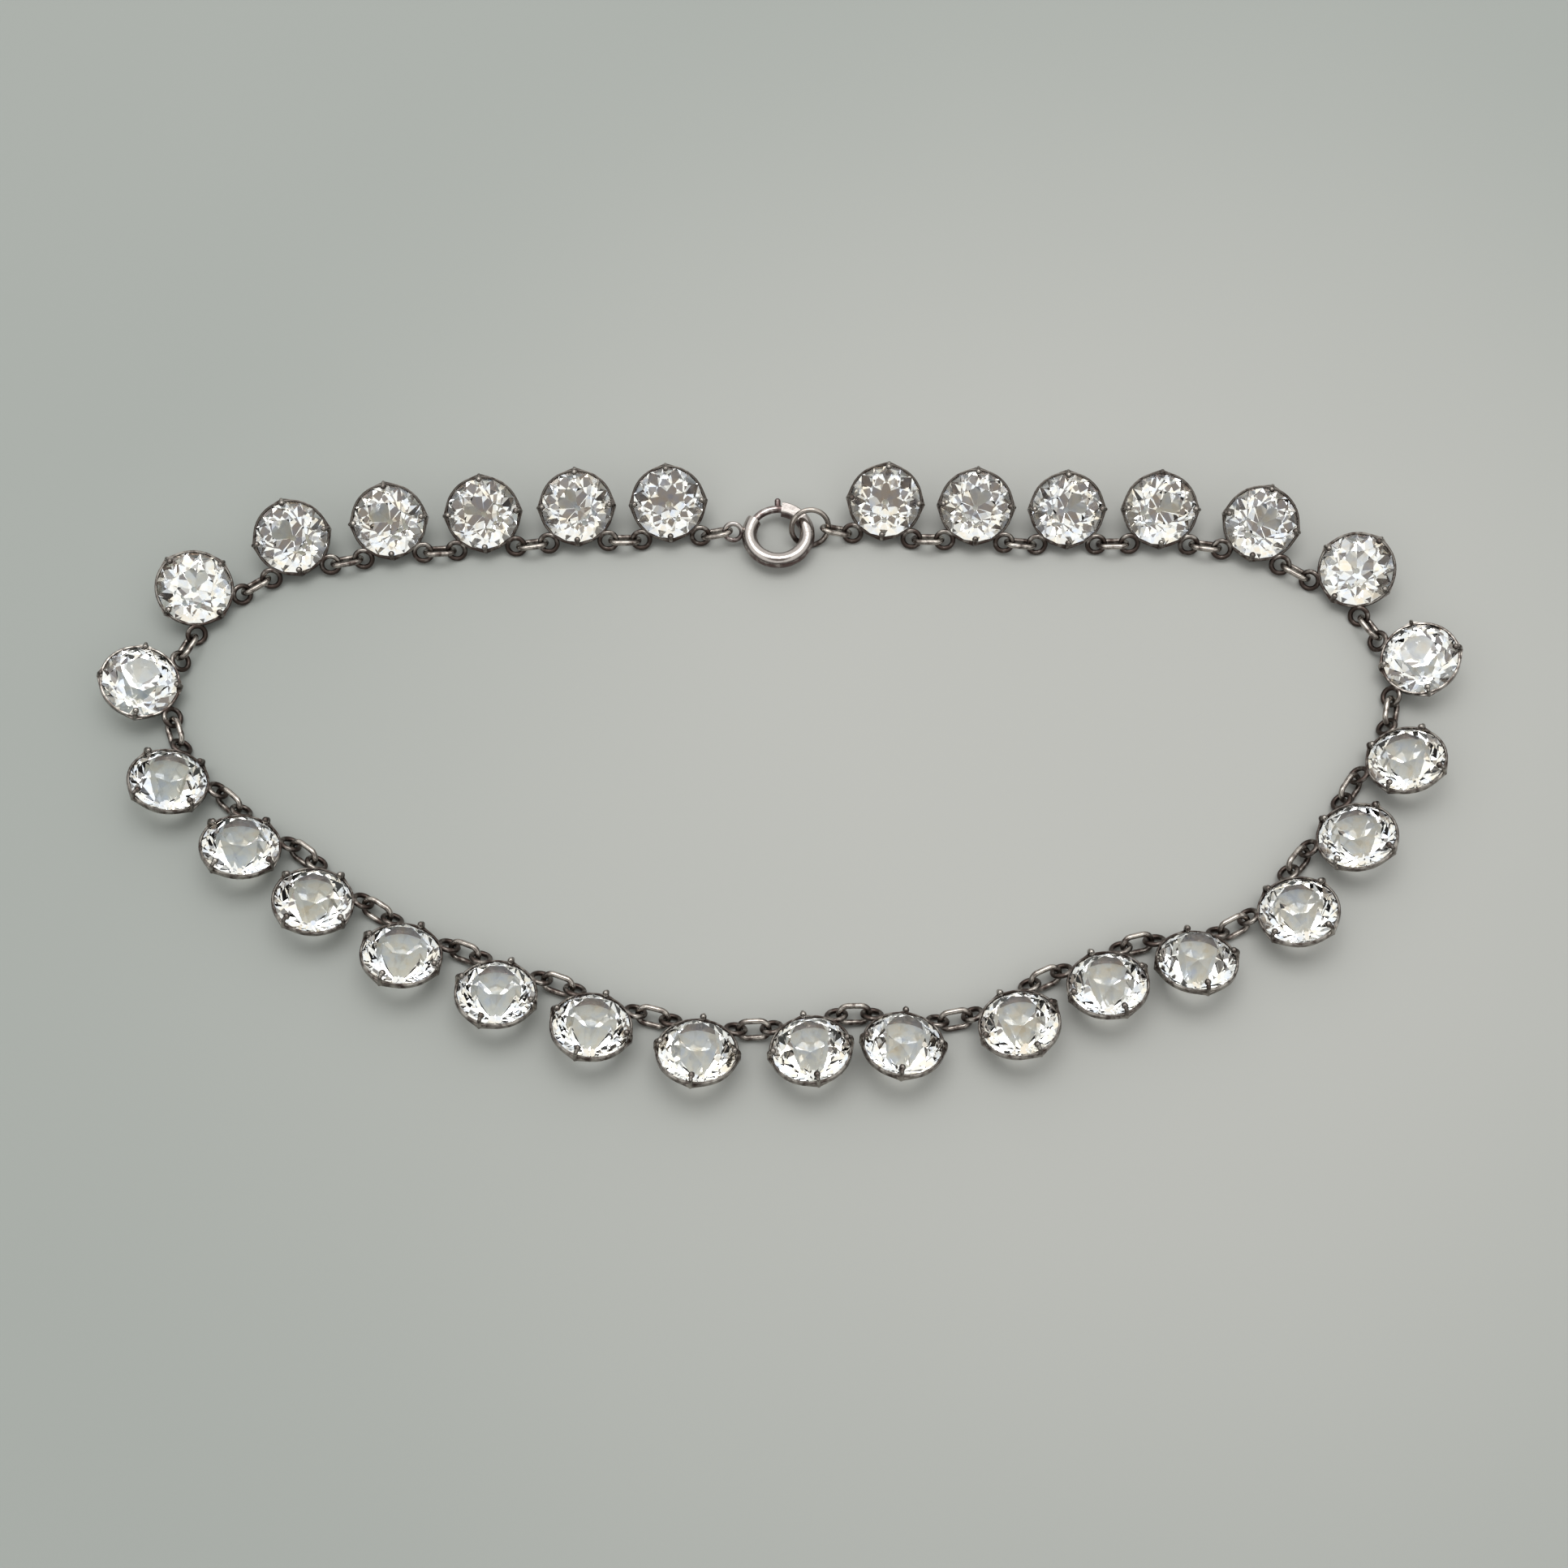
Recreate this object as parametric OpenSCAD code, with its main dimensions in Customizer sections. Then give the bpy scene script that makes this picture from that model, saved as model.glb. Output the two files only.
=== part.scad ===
// Riviere necklace: round cut stones in open silver cups, joined by oblong links,
// closed by a bolt ring, lying on a flat surface. Millimetres, +Z up, clasp at +Y.

/* [Stones] */
// Number of stones round the necklace
stone_count = 29; // [25:1:45]
// Width of a stone across its girdle
stone_d = 9.2; // [8:0.1:12]
// Width of the flat table, corner to corner
table_d = 4.5; // [3.6:0.1:5.8]
// Width of the ring of points below the star facets
star_d = 6.6; // [6:0.1:7.3]
// Height of the crown above the girdle
crown_h = 2.5; // [1.6:0.1:3.4]
// Thickness of the girdle
girdle_t = 0.2; // [0.1:0.05:0.5]
// Slope of the main facets below the girdle, in degrees
pavilion_slope = 41.5; // [36:0.5:44]
// Width of the ring of points where the lower girdle facets end
lower_d = 4; // [2:0.1:6]
// Width of the culet, the small flat at the bottom
culet_d = 0.8; // [0.3:0.1:1.6]

/* [Settings] */
// Gap between a stone and its metal
stone_gap = 0.05; // [0.05:0.01:0.15]
// Thickness of the cup's wall
cup_wall = 0.25; // [0.2:0.05:0.5]
// Height of the rim above the middle of the girdle
lip_h = 0.2; // [0.15:0.05:0.3]
// Depth of the upright band below the middle of the girdle, where the taper starts
band_h = 0.4; // [0.35:0.05:1]
// Depth of the whole cup below the middle of the girdle
cup_depth = 2.4; // [2:0.1:3.4]
// Outer width of the open base
base_d = 6.4; // [5.2:0.1:7.2]
// Rounding of the rim and of the foot
edge_soft = 0.1; // [0.05:0.05:0.15]
// Depth of the bearing's edge that the stone sits on
seat_z = 0.55; // [0.4:0.05:0.7]
// How far the corners under the claws stand out from the rim
corner_out = 0.3; // [0.25:0.05:0.5]
// Thickness of a claw
claw_d = 0.5; // [0.4:0.05:0.5]
// Width of the round tip of a claw
claw_tip_d = 0.8; // [0.5:0.05:0.85]
// How far the middle of a claw's tip reaches in over the girdle
claw_over = 0.2; // [0.1:0.05:0.25]
// Height at which a claw starts to bend over
claw_rise = 0.55; // [0.5:0.05:0.8]
// Thickness of the rib that carries a claw down the wall
rib_d = 0.5; // [0.4:0.05:0.7]

/* [Soldered loops] */
// Outer width of a soldered loop
loop_d = 2.9; // [2.7:0.1:3.2]
// Thickness of the loop's wire
loop_wire = 0.65; // [0.5:0.05:0.7]
// How deep a loop is soldered into the wall
loop_bite = 0.3; // [0.25:0.05:0.35]
// Depth of a loop's middle below the middle of the girdle
loop_drop = 0.5; // [0.4:0.05:0.7]
// Turn of a loop from the side that faces the neck, in degrees
loop_turn = 41; // [34:0.5:50]

/* [Links] */
// Outer length of a link
link_len = 4.4; // [3.9:0.1:6]
// Outer width of a link
link_w = 2.9; // [2.5:0.1:3.4]
// Thickness of a link's wire
link_wire = 0.7; // [0.5:0.05:0.75]
// Gap between a link and the loop that it hangs in
link_play = 0.14; // [0.1:0.01:0.2]

/* [Lie] */
// Lean of the stones towards the inside of the necklace, in degrees
lean = 25; // [10:1:32]
// How much the lean differs from stone to stone, in degrees
lean_spread = 2; // [0:0.5:4]
// Slope of the loops towards the inside, in degrees
loop_fall = 48; // [35:1:60]

/* [Bolt ring] */
// Outer width of the bolt ring
clasp_d = 9.6; // [9.4:0.1:12]
// Thickness of its tube
tube_d = 2; // [1.8:0.1:2.2]
// Thickness of the sliding bolt
bolt_d = 1; // [0.8:0.05:1.1]
// Gap between the bolt and the bore of the tube
bolt_gap = 0.1; // [0.08:0.01:0.15]
// Thickness of the thumb knob
knob_d = 0.8; // [0.6:0.05:0.9]
// How far the thumb knob stands out of the tube
knob_out = 0.2; // [0.1:0.1:1.6]
// Where the slotted end of the tube starts, in degrees
tube_start = 86; // [80:1:95]
// Opening of the tube that the bolt closes, in degrees
mouth = 64; // [56:1:70]
// Turn of the bolt from shut to open, in degrees
bolt_travel = 46; // [30:1:48]
// How deep the bolt enters the far end of the tube, in degrees
tip_in = 4; // [2:0.5:6]
// Depth of the flat on top of the slotted stretch
flat_cut = 0.2; // [0.1:0.05:0.25]
// Where the loop soldered to the tube sits, in degrees
eye_at = 179; // [168:1:190]
// Where the end ring hangs on the tube, in degrees
end_at = 11; // [0:1:20]
// Outer width of the end ring
end_ring_d = 5.6; // [5.4:0.1:6.4]
// Thickness of the end ring's wire
end_wire = 0.7; // [0.5:0.05:0.8]
// How far the end ring's inside lies within the inside of the tube's ring
end_play = 0.65; // [0.65:0.05:1.2]
// Height of the tube above the end ring's wire that it lies on
end_rest = 0.2; // [0.2:0.05:0.5]
// Slope of the end ring, in degrees
end_slope = 50; // [46:1:56]

/* [Hidden] */
$fn = 32;
fold = 8;
facet_turn = 360 / fold;
claws = 4;
small = 0.01;

// Line that the loops and links follow, clockwise from the end ring, with the clasp at +Y
route_points = [
    [5.3, 35.4], [19, 34.1], [31.1, 33.5], [43.3, 33.5], [55.4, 33.1], [67, 29.3], [75.7, 21.1],
    [76.8, 9.1], [70.4, -1.1], [63.1, -10.5], [54.5, -19], [42.6, -21], [31.3, -25.3],
    [20.4, -30.5], [8.3, -29.7], [-3.7, -31.7], [-15.7, -30.1], [-27.2, -26.1], [-38.7, -22.1],
    [-49.7, -16.9], [-59.3, -9.5], [-69.3, -2.6], [-77.1, 6.6], [-76.9, 18.6], [-68.9, 27.5],
    [-57.2, 30.9], [-45.2, 32.4], [-33, 33.4], [-20.9, 34], [-7.2, 35]
];
route_steps = 8;

// Stone
stone_r = stone_d / 2;
table_r = table_d / 2;
star_r = star_d / 2;
lower_r = lower_d / 2;
culet_r = culet_d / 2;
girdle_z = girdle_t / 2;
table_z = girdle_z + crown_h;
half_facet = cos(facet_turn / 2);
star_z = girdle_z + (stone_r - star_r * half_facet) * crown_h / (stone_r - table_r);
lower_z = -girdle_z - (stone_r - lower_r * half_facet) * tan(pavilion_slope);
culet_z = -girdle_z - (stone_r - culet_r * half_facet) * tan(pavilion_slope);

// Setting
bore_r = stone_r + stone_gap;
rim_r = bore_r + cup_wall;
base_r = base_d / 2;
foot_r = base_r - edge_soft;
slope_gap = stone_gap / sin(pavilion_slope);
bearing_z = girdle_z + (stone_r + slope_gap - bore_r) * tan(pavilion_slope);
seat_r = stone_r + slope_gap - (seat_z - girdle_z) / tan(pavilion_slope);
corner_r = rim_r + corner_out;
corner_turn = acos(rim_r / corner_r);
post_r = corner_r - claw_d / 2;
claw_tip_r = stone_r - claw_over;
claw_bend = post_r - claw_tip_r;
rib_end = [base_r, -cup_depth + rib_d];

// Soldered loop
loop_r = (loop_d - loop_wire) / 2;
loop_hole = loop_r - loop_wire / 2;
wall_slope = (rim_r - base_r) / (cup_depth - band_h);
loop_wall = rim_r - max(0, loop_drop - band_h) * wall_slope;
loop_reach = loop_wall + loop_d / 2 - loop_bite;
loop_in = loop_reach * cos(loop_turn);
loop_along = loop_reach * sin(loop_turn);

// Link: its end hangs this far out from the middle of a loop, and it swings about a point
// further out, which is the joint of the chain's line
hang = loop_hole - link_wire / 2 - link_play;
swing_at = 0.65;
swing = swing_at * loop_r;
bar = 2 * (loop_along + swing);
link_r = (link_w - link_wire) / 2;
link_straight = link_len - link_w;
span = link_len - link_wire + 2 * (hang - swing);

// Bolt ring: angles run anticlockwise from +X
ring_r = (clasp_d - tube_d) / 2;
bore_d = bolt_d + 2 * bolt_gap;
slot_w = knob_d + 4 * bolt_gap;
slot_spare = 2;
knob_turn = asin(knob_d / 2 / ring_r) + slot_spare;
knob_at = tube_start + knob_turn;
mouth_end = tube_start + mouth;
tube_turn = 360 - mouth;
bolt_tip = mouth_end + tip_in;
slot_end = knob_at - bolt_travel - knob_turn;
bolt_tail = slot_end + 2 * knob_turn;
eye_r = ring_r + tube_d / 2 + loop_d / 2 - loop_bite;
end_r = (end_ring_d - end_wire) / 2;
end_hole = end_r - end_wire / 2;
end_ring_at = ring_r - tube_d / 2 - end_play + end_hole;
eye_point = (eye_r + swing) * [cos(eye_at), sin(eye_at)];

// Heights: a setting stands on its foot, or on the culet where that is lower
link_low = link_r * cos(loop_fall) + link_wire / 2;
function tipped(p, tilt) = (p.y + loop_drop) * cos(tilt) - (p.x - loop_in) * sin(tilt);
function chain_z(tilt) = max(
    link_low,
    -tipped([foot_r, -cup_depth], tilt),
    -tipped([culet_r, culet_z], tilt)
);
function lean_of(i) = lean + lean_spread * sin(i * 137.5);
clasp_z = end_wire + end_rest + tube_d / 2;
end_z = end_r * sin(end_slope) + end_wire / 2;
end_lift = (end_z - clasp_z) / sin(end_slope);

// Joint of the first link, where the end ring's wire crosses the height of the chain
exit_wire = end_ring_at + sqrt(end_r * end_r - end_lift * end_lift);
exit_r = exit_wire - (end_wire + link_wire) / 2 - link_play - hang + swing;
exit_point = exit_r * [cos(end_at), sin(end_at)];

// The route as a smooth closed curve through its points
function knot(i) = route_points[(i + len(route_points)) % len(route_points)];
function reach(i) = norm(knot(i + 1) - knot(i));
function tangent(i) =
    let(a = reach(i - 1), b = reach(i))
    ((knot(i) - knot(i - 1)) * b / a + (knot(i + 1) - knot(i)) * a / b) / (a + b);
function curve(i, t) =
    (2 * t * t * t - 3 * t * t + 1) * knot(i)
    + (t * t * t - 2 * t * t + t) * reach(i) * tangent(i)
    + (3 * t * t - 2 * t * t * t) * knot(i + 1)
    + (t * t * t - t * t) * reach(i) * tangent(i + 1);
route = [
    for (i = [0:len(route_points) - 1], t = [0:route_steps - 1])
        curve(i, t / route_steps)
];
marks = len(route);
function mark(k) = route[k % marks];
function piece_len(k) = norm(mark(k + 1) - mark(k));
arcs = [for (k = 0, s = 0; k <= marks; s = s + piece_len(k), k = k + 1) s];

// Links and settings are laid end to end along the route as straight bars of their own length
last_bar = 2 * stone_count + 1;
function bar_len(j) = j == last_bar ? norm(exit_point - eye_point) : j % 2 == 0 ? span : bar;
function on_piece(p, k, d) =
    let(
        u = mark(k + 1) - mark(k),
        w = mark(k) - p,
        t = (sqrt(max(0, (u * w) * (u * w) - (u * u) * (w * w - d * d))) - u * w) / (u * u)
    )
    [mark(k) + t * u, k, t];
function step_on(p, k, d) = norm(mark(k + 1) - p) < d ? step_on(p, k + 1, d) : on_piece(p, k, d);
function laid(size) = [
    for (
        j = 0, s = [mark(0), 0, 0];
        j <= last_bar + 1;
        s = step_on(s[0], s[1], bar_len(j) / size), j = j + 1
    ) s
];
function arc_of(s) =
    floor(s[1] / marks) * arcs[marks] + arcs[s[1] % marks] + s[2] * piece_len(s[1]);
// The route is sized so that the last bar ends where the first one starts
function fitted(size, tries) =
    tries == 0 ? size : fitted(size * arc_of(laid(size)[last_bar + 1]) / arcs[marks], tries - 1);
route_size = fitted(1, 12);
joints = [for (s = laid(route_size)) s[0] * route_size];

function heading(v) = atan2(v.y, v.x);
function turned(v, a) = [v.x * cos(a) - v.y * sin(a), v.x * sin(a) + v.y * cos(a)];
function bar_from(i) = joints[2 * i - 1];
function bar_to(i) = joints[2 * i];
function bar_heading(i) = heading(bar_to(i) - bar_from(i));
clasp_turn = heading(joints[0] - joints[last_bar]) - heading(exit_point - eye_point);
clasp_at = joints[0] - turned(exit_point, clasp_turn);

// The middle of the whole outline comes to the origin
function spot(i, p) =
    let(
        tilt = lean_of(i),
        out = [(p.x - loop_in) * cos(tilt) + (p.z + loop_drop) * sin(tilt), p.y]
    )
    (bar_from(i) + bar_to(i)) / 2 + turned(out, bar_heading(i) - 90);
outline = [
    for (i = [1:stone_count], a = [0:7.5:359])
        spot(i, [rim_r * cos(a), rim_r * sin(a), 0]),
    for (i = [1:stone_count], c = [0:claws - 1])
        spot(i, [corner_r * cos(c * 360 / claws), corner_r * sin(c * 360 / claws), claw_rise])
];
outline_x = [for (p = outline) p.x];
outline_y = [for (p = outline) p.y];
middle = [max(outline_x) + min(outline_x), max(outline_y) + min(outline_y)] / 2;

function stone_name(i) = str("stone_", i < 10 ? "0" : "", i);

// A stone: rings of points from the table down to the culet, and the facets between them
function facet_ring(r, z, turn) = [
    for (k = [0:fold - 1])
        [r * cos(facet_turn * (k + turn)), r * sin(facet_turn * (k + turn)), z]
];
stone_points = concat(
    facet_ring(table_r, table_z, 0),
    facet_ring(star_r, star_z, 0.5),
    facet_ring(stone_r, girdle_z, 0),
    facet_ring(stone_r, girdle_z, 0.5),
    facet_ring(stone_r, -girdle_z, 0),
    facet_ring(stone_r, -girdle_z, 0.5),
    facet_ring(lower_r, lower_z, 0.5),
    facet_ring(culet_r, culet_z, 0.5)
);
table = 0;
star = 1;
top = 2;
top_half = 3;
under = 4;
under_half = 5;
lower = 6;
culet = 7;
function at(ring, k) = ring * fold + (k + fold) % fold;
function facets(k) = [
    [at(table, k), at(star, k), at(table, k + 1)],
    [at(table, k), at(star, k - 1), at(top, k), at(star, k)],
    [at(star, k), at(top, k), at(top_half, k)],
    [at(star, k), at(top_half, k), at(top, k + 1)],
    [at(under, k), at(under_half, k), at(top_half, k), at(top, k)],
    [at(under_half, k), at(under, k + 1), at(top, k + 1), at(top_half, k)],
    [at(lower, k), at(under_half, k), at(under, k)],
    [at(lower, k), at(under, k + 1), at(under_half, k)],
    [at(under, k), at(lower, k - 1), at(culet, k - 1), at(culet, k), at(lower, k)]
];
function reversed(list) = [for (i = [len(list) - 1:-1:0]) list[i]];
stone_facets = concat(
    [reversed([for (k = [0:fold - 1]) at(table, k)])],
    [[for (k = [0:fold - 1]) at(culet, k)]],
    [for (k = [0:fold - 1], f = facets(k)) reversed(f)]
);

module stone(i) {
    color("aliceblue")
        in_place(i)
            rotate([0, 0, i * 137.5])
                polyhedron(stone_points, stone_facets, convexity = 2);
}

// Puts a setting's own frame, with +X to the inside and +Y along the chain, in its place
module in_place(i) {
    a = bar_from(i);
    b = bar_to(i);
    translate([(a.x + b.x) / 2 - middle.x, (a.y + b.y) / 2 - middle.y, chain_z(lean_of(i))])
        rotate([0, 0, bar_heading(i) - 90])
            rotate([0, lean_of(i), 0])
                translate([-loop_in, 0, loop_drop])
                    children();
}

// Cup with a rim round the girdle, a bearing under it and an open base
module cup() {
    rotate_extrude()
        polygon([
            [bore_r, lip_h],
            [rim_r - edge_soft, lip_h],
            [rim_r, lip_h - edge_soft],
            [rim_r, -band_h],
            [base_r, -cup_depth + edge_soft],
            [foot_r, -cup_depth],
            [base_r - cup_wall, -cup_depth],
            [seat_r, -seat_z],
            [bore_r, -bearing_z]
        ]);
}

// Corner of the band under each claw
module corners() {
    translate([0, 0, -band_h])
        linear_extrude(band_h)
            difference() {
                for (c = [0:claws - 1])
                    rotate(c * 360 / claws)
                        polygon([
                            [0, 0],
                            rim_r * [cos(corner_turn), -sin(corner_turn)],
                            [corner_r, 0],
                            rim_r * [cos(corner_turn), sin(corner_turn)]
                        ]);
                circle(bore_r);
            }
}

// Round bar in the plane of a claw, from one point to the next
module claw_bar(from, to, d) {
    translate([from.x, 0, from.y])
        rotate([0, atan2(to.x - from.x, to.y - from.y), 0])
            cylinder(h = norm(to - from), d = d);
}

module claw() {
    claw_bar([post_r, -band_h], [post_r, claw_rise], claw_d);
    translate([claw_tip_r, 0, claw_rise])
        rotate([90, 0, 0])
            rotate_extrude(angle = 90)
                translate([claw_bend, 0])
                    circle(d = claw_d);
    translate([claw_tip_r, 0, claw_rise + claw_bend])
        sphere(d = claw_tip_d);
    translate([post_r, 0, -band_h])
        sphere(d = claw_d);
    claw_bar([post_r, -band_h], rib_end, rib_d);
}

module soldered_loop() {
    rotate_extrude()
        translate([loop_r, 0])
            circle(d = loop_wire);
}

module setting(i) {
    in_place(i) {
        cup();
        corners();
        for (c = [0:claws - 1])
            rotate([0, 0, c * 360 / claws])
                claw();
        for (side = [-1, 1])
            translate([loop_in, side * loop_along, -loop_drop])
                rotate([0, loop_fall - lean, 0])
                    soldered_loop();
    }
}

module settings() {
    color("slategray")
        for (i = [1:stone_count])
            setting(i);
}

// Oblong link along Y
module link() {
    for (side = [0, 180])
        rotate([0, 0, side]) {
            translate([0, link_straight / 2, 0])
                rotate_extrude(angle = 180)
                    translate([link_r, 0])
                        circle(d = link_wire);
            translate([link_r, -link_straight / 2, 0])
                rotate([-90, 0, 0])
                    cylinder(h = link_straight, d = link_wire);
        }
}

// Height of the loop that a link hangs in: the clasp's at either end of the chain
function loop_z(i) = i < 1 || i > stone_count ? clasp_z : chain_z(lean_of(i));

module links() {
    color("lightslategray")
        for (i = [1:stone_count + 1]) {
            a = joints[2 * i - 2];
            b = joints[2 * i - 1];
            rise = asin((loop_z(i) - loop_z(i - 1)) / span);
            height = (loop_z(i) + loop_z(i - 1)) / 2;
            translate([(a.x + b.x) / 2 - middle.x, (a.y + b.y) / 2 - middle.y, height])
                rotate([0, 0, heading(b - a) - 90])
                    rotate([rise, 0, 0])
                        rotate([0, loop_fall - 90, 0])
                            link();
        }
}

module at_clasp() {
    translate([clasp_at.x - middle.x, clasp_at.y - middle.y, clasp_z])
        rotate([0, 0, clasp_turn])
            children();
}

// Stretch of a ring of tube or wire, from one angle on by another
module ring_piece(from, turn) {
    rotate([0, 0, from])
        rotate_extrude(angle = turn)
            children();
}

module bolt_ring() {
    color("silver")
        at_clasp() {
            difference() {
                ring_piece(mouth_end, tube_turn)
                    translate([ring_r, 0])
                        circle(d = tube_d);
                ring_piece(mouth_end - slot_spare, tube_turn + 2 * slot_spare)
                    translate([ring_r, 0])
                        circle(d = bore_d);
                ring_piece(slot_end, tube_start + slot_spare - slot_end)
                    translate([ring_r, -slot_w / 2])
                        square([tube_d, slot_w]);
                ring_piece(slot_end - slot_spare, tube_start + 2 * slot_spare - slot_end)
                    translate([ring_r - tube_d / 2, tube_d / 2 - flat_cut])
                        square([tube_d, flat_cut + small]);
            }
            rotate([0, 0, eye_at])
                translate([eye_r, 0, 0])
                    rotate([-loop_fall, 0, 0])
                        soldered_loop();
        }
}

module bolt() {
    color("gainsboro")
        at_clasp() {
            ring_piece(bolt_tail, bolt_tip - bolt_tail)
                translate([ring_r, 0])
                    circle(d = bolt_d);
            rotate([0, 0, bolt_tip])
                translate([ring_r, 0, 0])
                    sphere(d = bolt_d);
            rotate([0, 0, knob_at])
                translate([ring_r, 0, 0]) {
                    rotate([0, 90, 0])
                        cylinder(h = tube_d / 2 + knob_out, d = knob_d);
                    translate([tube_d / 2 + knob_out, 0, 0])
                        sphere(d = knob_d);
                }
        }
}

// Ring of wire round the tube: low on the side of the neck and high on the far side
module end_ring() {
    color("darkgray")
        at_clasp()
            rotate([0, 0, end_at])
                translate([end_ring_at, 0, 0])
                    rotate([end_slope, 0, 0])
                        translate([0, end_lift, 0])
                            rotate_extrude()
                                translate([end_r, 0])
                                    circle(d = end_wire);
}

for (i = [1:stone_count])
    stone(i);
settings();
links();
bolt_ring();
bolt();
end_ring();
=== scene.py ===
# %% [markdown]
# # A riviere necklace of cut glass stones
#
# A riviere is a row of single stones, all round the neck. The metal, the stones and the
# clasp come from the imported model. This script gives them their looks: clear cut glass,
# old silver and a cleaner bolt ring, on a pale surface in soft light from above. Lengths
# are in metres, and MM turns millimetres into them. Angles are written in degrees.

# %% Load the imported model
import math

import bmesh
import bpy
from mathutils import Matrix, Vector

MM = 0.001


def in_mm(corners):
    return [[round(v / MM, 1) for v in corner] for corner in corners]


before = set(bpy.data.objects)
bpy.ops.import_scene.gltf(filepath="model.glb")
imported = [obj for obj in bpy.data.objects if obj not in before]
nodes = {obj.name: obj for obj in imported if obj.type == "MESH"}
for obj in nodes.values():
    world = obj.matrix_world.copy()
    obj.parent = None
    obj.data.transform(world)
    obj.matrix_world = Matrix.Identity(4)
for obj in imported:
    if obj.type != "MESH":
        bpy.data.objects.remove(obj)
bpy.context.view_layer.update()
stones = [nodes[name] for name in sorted(nodes) if name.startswith("stone_")]

# %% [markdown]
# ## Shader maths that reads like Python
#
# A `Wire` is one output of a shader node. Adding or multiplying two wires makes the Math
# node that does it, so a material's formula can be written on one line. A `Graph` makes
# every other kind of node, and a `Look` is the graph of one material.

# %% Wires
class Wire:
    def __init__(self, graph, socket):
        self.graph = graph
        self.socket = socket

    def math(self, kind, *values):
        return self.graph.node("ShaderNodeMath", {"operation": kind}, values)

    def __add__(self, other):
        return self.math("ADD", self, other)

    def __sub__(self, other):
        return self.math("SUBTRACT", self, other)

    def __rsub__(self, other):
        return self.math("SUBTRACT", other, self)

    def __mul__(self, other):
        return self.math("MULTIPLY", self, other)

    __radd__ = __add__
    __rmul__ = __mul__

# %% Graphs
class Graph:
    def __init__(self, tree):
        self.tree = tree

    def connect(self, value, socket):
        if isinstance(value, Wire):
            self.tree.links.new(value.socket, socket)
        else:
            socket.default_value = value

    def node(self, kind, settings, values, out=0):
        made = self.tree.nodes.new(kind)
        for name, setting in settings.items():
            setattr(made, name, setting)
        pairs = values.items() if isinstance(values, dict) else enumerate(values)
        for key, value in pairs:
            self.connect(value, made.inputs[key])
        return Wire(self, made.outputs[out])

    def step(self, value, painted_shade, high):
        smooth = {"interpolation_type": "SMOOTHSTEP"}
        return self.node("ShaderNodeMapRange", smooth, [value, painted_shade, high])

    def between(self, factor, first, second):
        return self.node("ShaderNodeMix", {"data_type": "RGBA"},
                         {0: factor, 6: first, 7: second}, out=2)

    def vector(self, kind, first, second):
        return self.node("ShaderNodeVectorMath", {"operation": kind},
                         [first, second], out="Value")


class Look(Graph):
    def __init__(self, name):
        self.material = bpy.data.materials.new(name)
        self.material.use_nodes = True
        super().__init__(self.material.node_tree)
        self.surface = self.tree.nodes["Principled BSDF"]
        self.place = self.node("ShaderNodeTexCoord", {}, {}, out="Object")

    def noise(self, size, detail=2.0):
        return self.node("ShaderNodeTexNoise", {},
                         {"Vector": self.place, "Scale": 1 / size, "Detail": detail})

    def height(self):
        return self.node("ShaderNodeSeparateXYZ", {}, [self.place], out=2)

    def bump(self, height, strength, depth):
        return self.node("ShaderNodeBump", {},
                         {"Strength": strength, "Distance": depth, "Height": height})

    def wear(self, **values):
        for name, value in values.items():
            self.connect(value, self.surface.inputs[name.replace("_", " ")])
        return self.material


def dress(piece, material):
    piece.data.materials.clear()
    piece.data.materials.append(material)

# %% [markdown]
# ## Cut glass
#
# The stones are clear, with the faint warm grey of old glass. Their sparkle could be
# painted on, but a painted sparkle stays where it is when the necklace turns, so here the
# facets themselves bend the light of the room. Real cut glass also splits light into
# colours. The renderer doesn't, and small cool and warm patches stand in for them.
#
# Light that reaches the surface through a stone is slow to work out. Shadow rays go
# straight through the glass instead, a little weakened, which gives a pale shadow.

# %% Glass
GLASS_INDEX = 1.63
PATCH_SIZE = 1.6 * MM
COOL_EDGE = (0.55, 0.64)
WARM_EDGE = (0.44, 0.36)
CLEAR_GLASS = (0.985, 0.98, 0.945, 1)
COOL_GLASS = (0.82, 0.88, 1.0, 1)
WARM_GLASS = (1.0, 0.9, 0.74, 1)
GLASS_SHADE = (0.74, 0.74, 0.74, 1)


def cut_glass():
    g = Look("cut_glass")
    patch = g.noise(PATCH_SIZE, detail=1.0)
    cool = g.between(g.step(patch, *COOL_EDGE), CLEAR_GLASS, COOL_GLASS)
    tint = g.between(g.step(patch, *WARM_EDGE), cool, WARM_GLASS)
    g.wear(Base_Color=tint, Roughness=0.0, IOR=GLASS_INDEX, Transmission_Weight=1.0)
    shadow_ray = g.node("ShaderNodeLightPath", {}, {}, out="Is Shadow Ray")
    open_air = g.node("ShaderNodeBsdfTransparent", {}, {"Color": GLASS_SHADE})
    glass = Wire(g, g.surface.outputs["BSDF"])
    mixed = g.node("ShaderNodeMixShader", {}, [shadow_ray, glass, open_air])
    g.connect(mixed, g.tree.nodes["Material Output"].inputs["Surface"])
    return g.material


glass = cut_glass()
for stone in stones:
    dress(stone, glass)
print("glass on", len(stones), "stones")
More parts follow.
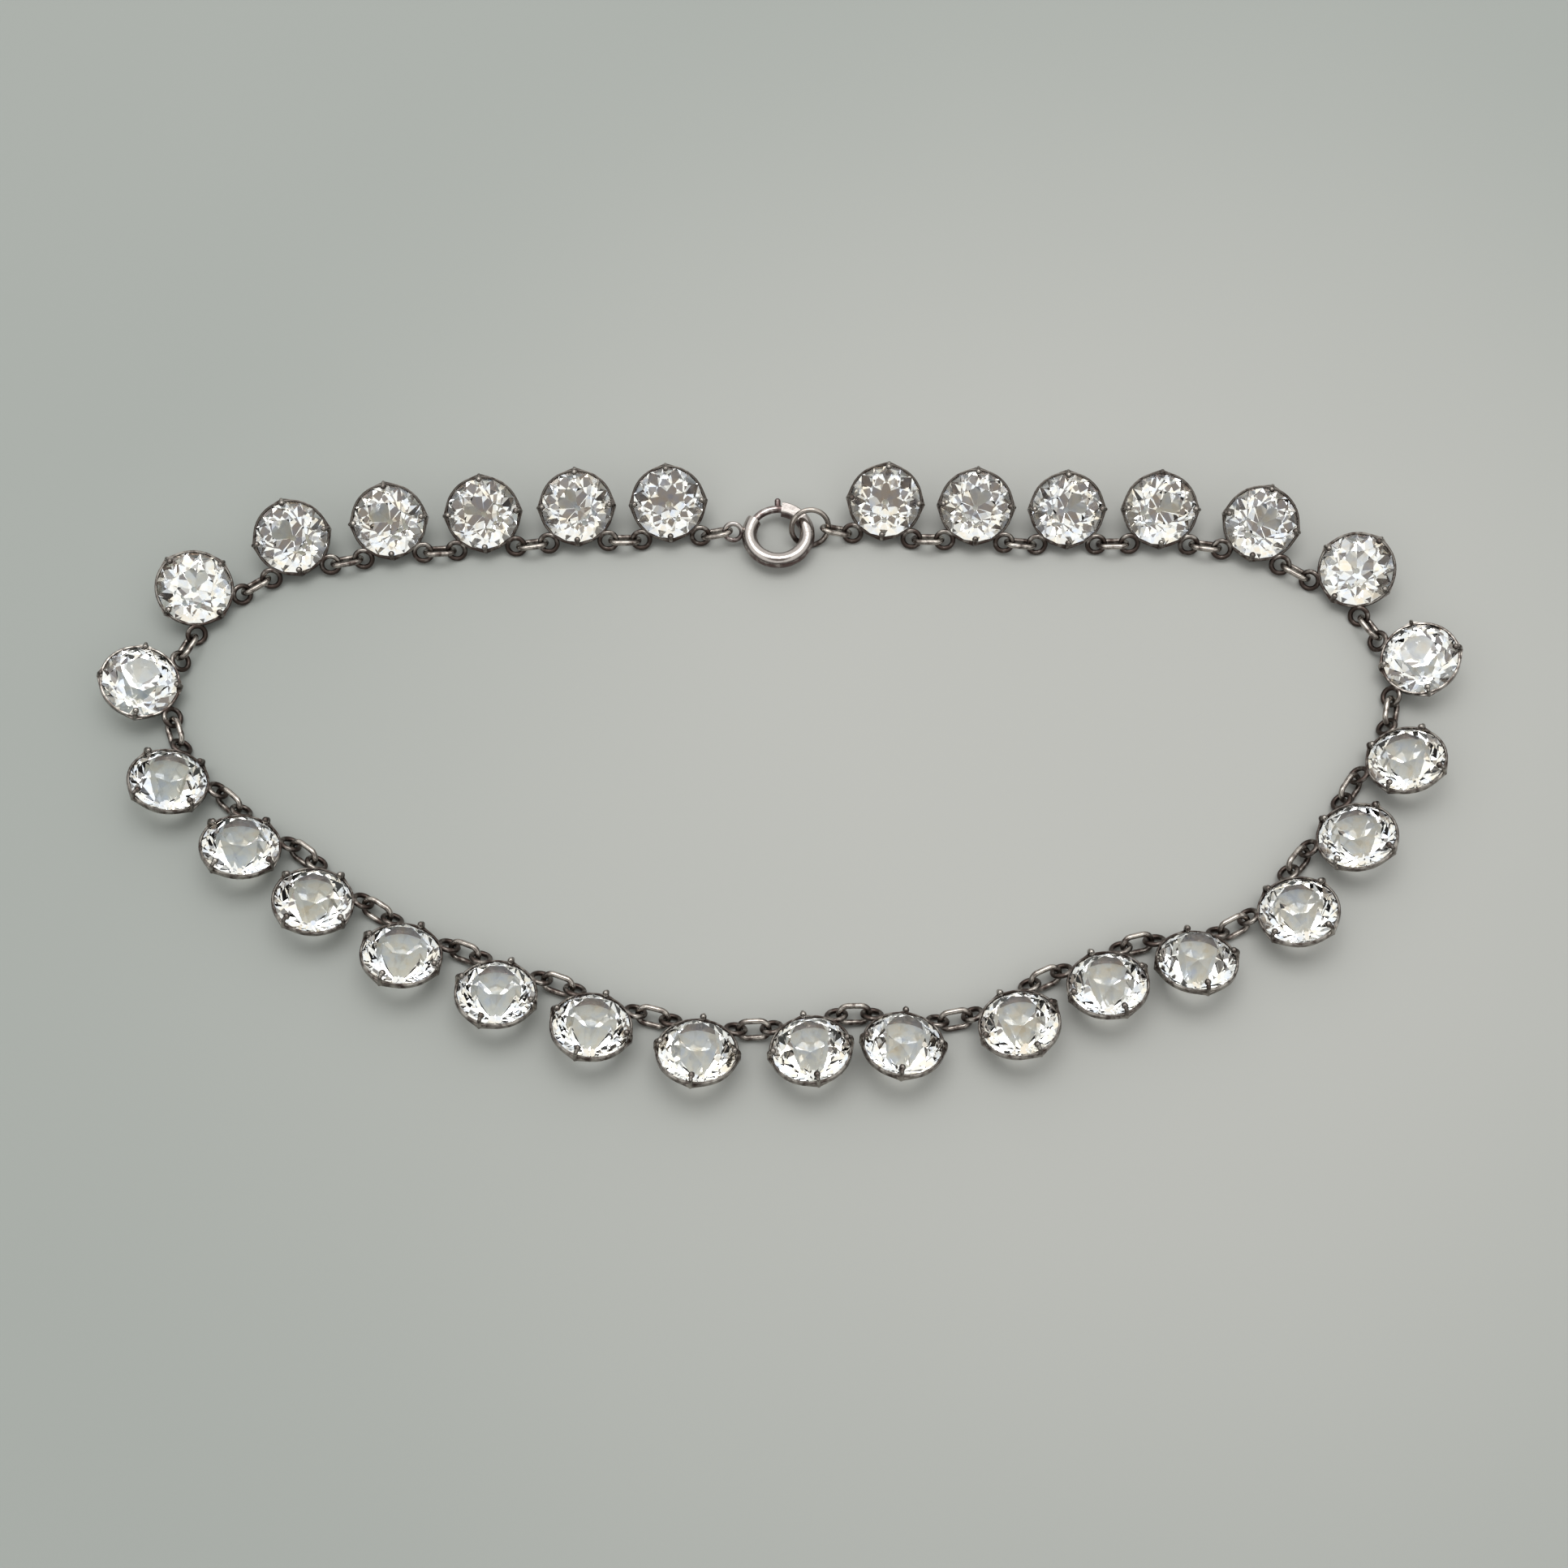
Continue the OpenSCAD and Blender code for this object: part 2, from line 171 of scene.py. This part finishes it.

# %% [markdown]
# ## Silver
#
# The metal is old and brownish, with patches of dirt from noise, most of all on the
# settings and the links. Low down, towards the surface, it is also darker: that is painted
# shade.
# The clasp is cleaner, with painted shade on the lower side of its tube. An image could
# hold such marks, but the pieces have no unwrapped surface to put them on. Noise and the
# height above the surface need none, and give each setting dirt and shade of its own.
#
# Each metal is its clean colour, its dark colour for dirt and painted shade, how much of it
# the darkening covers, the heights in millimetres between which the painted shade thins
# out, and how strongly that height counts.

# %% Metal
DIRT_GRAIN = 0.9 * MM
WEAR_GRAIN = 2.2 * MM
DENT_GRAIN = 0.5 * MM
DENT_DEPTH = 0.05 * MM
DENT_STRENGTH = 0.2
POLISH_GRAIN = 0.3 * MM
WORN_SHARE = 0.8
DARKENING_FROM = 0.65
DARKENING_FULL = 1.05
SHINE = 0.12
DARKENING_DULLS = 0.2
POLISH_DULLS = 0.1


def silver(name, clean, dirty, cover, shade_heights, shade_share):
    s = Look(name)
    # Darker low down, towards the surface: painted shade. The noise below adds the real
    # dirt to it.
    painted_shade = 1 - s.step(s.height(), shade_heights[0] * MM, shade_heights[1] * MM)
    grime_and_shade = painted_shade * shade_share + s.noise(DIRT_GRAIN, detail=4.0)
    dirt_and_shade = s.step(grime_and_shade, DARKENING_FROM - cover, DARKENING_FULL - cover)
    worn = [v * WORN_SHARE for v in clean] + [1]
    metal = s.between(s.noise(WEAR_GRAIN, detail=3.0), [*clean, 1], worn)
    colour = s.between(dirt_and_shade, metal, dirty)
    roughness = SHINE + dirt_and_shade * DARKENING_DULLS + s.noise(POLISH_GRAIN) * POLISH_DULLS
    relief = s.bump(s.noise(DENT_GRAIN, detail=3.0), DENT_STRENGTH, DENT_DEPTH)
    return s.wear(Base_Color=colour, Metallic=1.0, Roughness=roughness, Normal=relief)


# The dark colours serve both for real dirt and for the painted shade low down. On the
# clasp's tube the dark is mostly painted shade on its lower side.
DIRT_AND_SHADE = (0.07, 0.052, 0.045, 1)
SHADE_AND_TARNISH = (0.13, 0.09, 0.085, 1)
CHAIN_SHADE_HEIGHTS = (0.4, 3.6)
TUBE_SHADE_HEIGHTS = (2.1, 2.9)
metals = {
    "settings": ((0.42, 0.39, 0.355), DIRT_AND_SHADE, 0.34, CHAIN_SHADE_HEIGHTS, 0.25),
    "links": ((0.52, 0.475, 0.43), DIRT_AND_SHADE, 0.2, CHAIN_SHADE_HEIGHTS, 0.25),
    "end_ring": ((0.46, 0.41, 0.37), DIRT_AND_SHADE, 0.15, CHAIN_SHADE_HEIGHTS, 0.3),
    "bolt_ring": ((0.5, 0.455, 0.43), SHADE_AND_TARNISH, 0.0, TUBE_SHADE_HEIGHTS, 0.5),
    "bolt": ((0.55, 0.5, 0.48), SHADE_AND_TARNISH, 0.0, TUBE_SHADE_HEIGHTS, 0.5),
}
for name, finish in metals.items():
    dress(nodes[name], silver(name + "_silver", *finish))
print("metal on", list(metals))

# %% [markdown]
# ## The surface and the camera
#
# The necklace lies on a plain pale surface, which is palest at a spot right of its middle
# and darker further out: a painted pool of light. A lamp could do that, but it would show
# in every stone as well, so the pool is painted into the surface's own colour, which fades,
# with faint clouds in it.
#
# The camera stands at the photograph's angle and distance. Both were worked out from the
# outlines of the stones, which are flatter the nearer they lie.

# %% Surface
CARD_HALF = 1.5
CARD_PALE = (0.387, 0.388, 0.368, 1)
CARD_DARK = (0.298, 0.315, 0.296, 1)
CARD_ROUGHNESS = 0.7
LIGHT_POOL_SPOT = (45 * MM, 0.0, 0.0)
LIGHT_POOL_REACH = 30 * MM
LIGHT_POOL_EDGE = 150 * MM
CLOUD_SIZE = 70 * MM
CLOUD_SHARE = 0.2
NOISE_MIDDLE = 0.5


def surface(half):
    square = bmesh.new()
    bmesh.ops.create_grid(square, x_segments=1, y_segments=1, size=half)
    mesh = bpy.data.meshes.new("surface")
    square.to_mesh(mesh)
    square.free()
    floor = bpy.data.objects.new("surface", mesh)
    bpy.context.collection.objects.link(floor)
    return floor


def pale_card():
    s = Look("pale_card")
    away = s.vector("DISTANCE", s.place, LIGHT_POOL_SPOT)
    clouds = (s.noise(CLOUD_SIZE) - NOISE_MIDDLE) * CLOUD_SHARE
    # Painted pool of light: paler near the spot, darker further out, with clouds added.
    falloff_and_clouds = s.step(away, LIGHT_POOL_REACH, LIGHT_POOL_EDGE) + clouds
    colour = s.between(falloff_and_clouds, CARD_PALE, CARD_DARK)
    return s.wear(Base_Color=colour, Roughness=CARD_ROUGHNESS)


dress(surface(CARD_HALF), pale_card())
print("surface", 2 * CARD_HALF, "m wide")

# %% Camera
PHOTO_SIDE = 1932
FOCAL_PIXELS = 2306
SENSOR = 36
ELEVATION = math.radians(68.8)
DISTANCE = 0.2353
AIM = Vector((0.0003, -0.0017, 0))
NEAREST = 0.01

camera = bpy.data.objects.new("camera", bpy.data.cameras.new("camera"))
bpy.context.collection.objects.link(camera)
back = Vector((0, -math.cos(ELEVATION), math.sin(ELEVATION)))
camera.location = AIM + back * DISTANCE
camera.rotation_euler = (math.pi / 2 - ELEVATION, 0, 0)
camera.data.sensor_width = SENSOR
camera.data.lens = SENSOR * FOCAL_PIXELS / PHOTO_SIDE
camera.data.clip_start = NEAREST
bpy.context.scene.camera = camera
print("camera at mm:", in_mm([camera.location]))

# %% [markdown]
# ## Light
#
# A cut stone shows the room that it lies in, so the room matters more here than the lamp.
# A photograph of a room could serve, but a few smooth tones do too, and each of them can
# be set by itself. The room is bright overhead and dim near the horizon, apart from a
# window low down at the back, which whitens the stones' edges. The camera stands in the
# way of some of the light. Cut stones that face it send that dark patch back, so their
# tables look dark. One wide lamp above and a little behind adds the soft shadows.
#
# The walls brighten between the two values of WALL_RISE, where 0 is the horizon and 1 is
# straight up. A patch of the room has a direction for its middle, and two angles from it:
# the patch begins at the first and is full at the second.

# %% Lamp
def towards(azimuth, elevation):
    turn, rise = math.radians(azimuth), math.radians(elevation)
    return Vector(
        (math.sin(turn) * math.cos(rise), math.cos(turn) * math.cos(rise), math.sin(rise)))


def lamp(name, direction, distance, size, power):
    data = bpy.data.lights.new(name, "AREA")
    data.shape = "RECTANGLE"
    data.size, data.size_y = size
    data.energy = power
    made = bpy.data.objects.new(name, data)
    bpy.context.collection.objects.link(made)
    made.location = distance * direction
    made.rotation_euler = (-made.location).to_track_quat("-Z", "Y").to_euler()
    return made


overhead = lamp("overhead", towards(0, 74), distance=0.8, size=(0.7, 0.4), power=3.0)
print("lamp at mm:", in_mm([overhead.location]))

# %% Room
DIM_WALL = (0.14, 0.132, 0.125, 1)
BRIGHT_WALL = (1.13, 1.15, 1.13, 1)
WINDOW = (1.0, 1.0, 0.98, 1)
CAMERA_SHADE = (0.26, 0.235, 0.22, 1)
WALL_RISE = (0.24, 0.62)
WINDOW_WAY = towards(0, 18)
WINDOW_SPREAD = (44, 22)
SHADE_SPREAD = (23, 11)

world = bpy.data.worlds.new("room")
world.use_nodes = True
bpy.context.scene.world = world
bpy.context.scene.view_settings.view_transform = "Standard"

room = Graph(world.node_tree)
ray = room.node("ShaderNodeTexCoord", {}, {}, out="Generated")
up = room.node("ShaderNodeSeparateXYZ", {}, [ray], out=2)


def round_patch(middle, outer, inner):
    nearness = room.vector("DOT_PRODUCT", ray, middle)
    return room.step(nearness, math.cos(math.radians(outer)), math.cos(math.radians(inner)))


light = room.between(room.step(up, *WALL_RISE), DIM_WALL, BRIGHT_WALL)
light = room.between(round_patch(WINDOW_WAY, *WINDOW_SPREAD), light, WINDOW)
light = room.between(round_patch(back, *SHADE_SPREAD), light, CAMERA_SHADE)
room.connect(light, world.node_tree.nodes["Background"].inputs["Color"])
print("room light set")
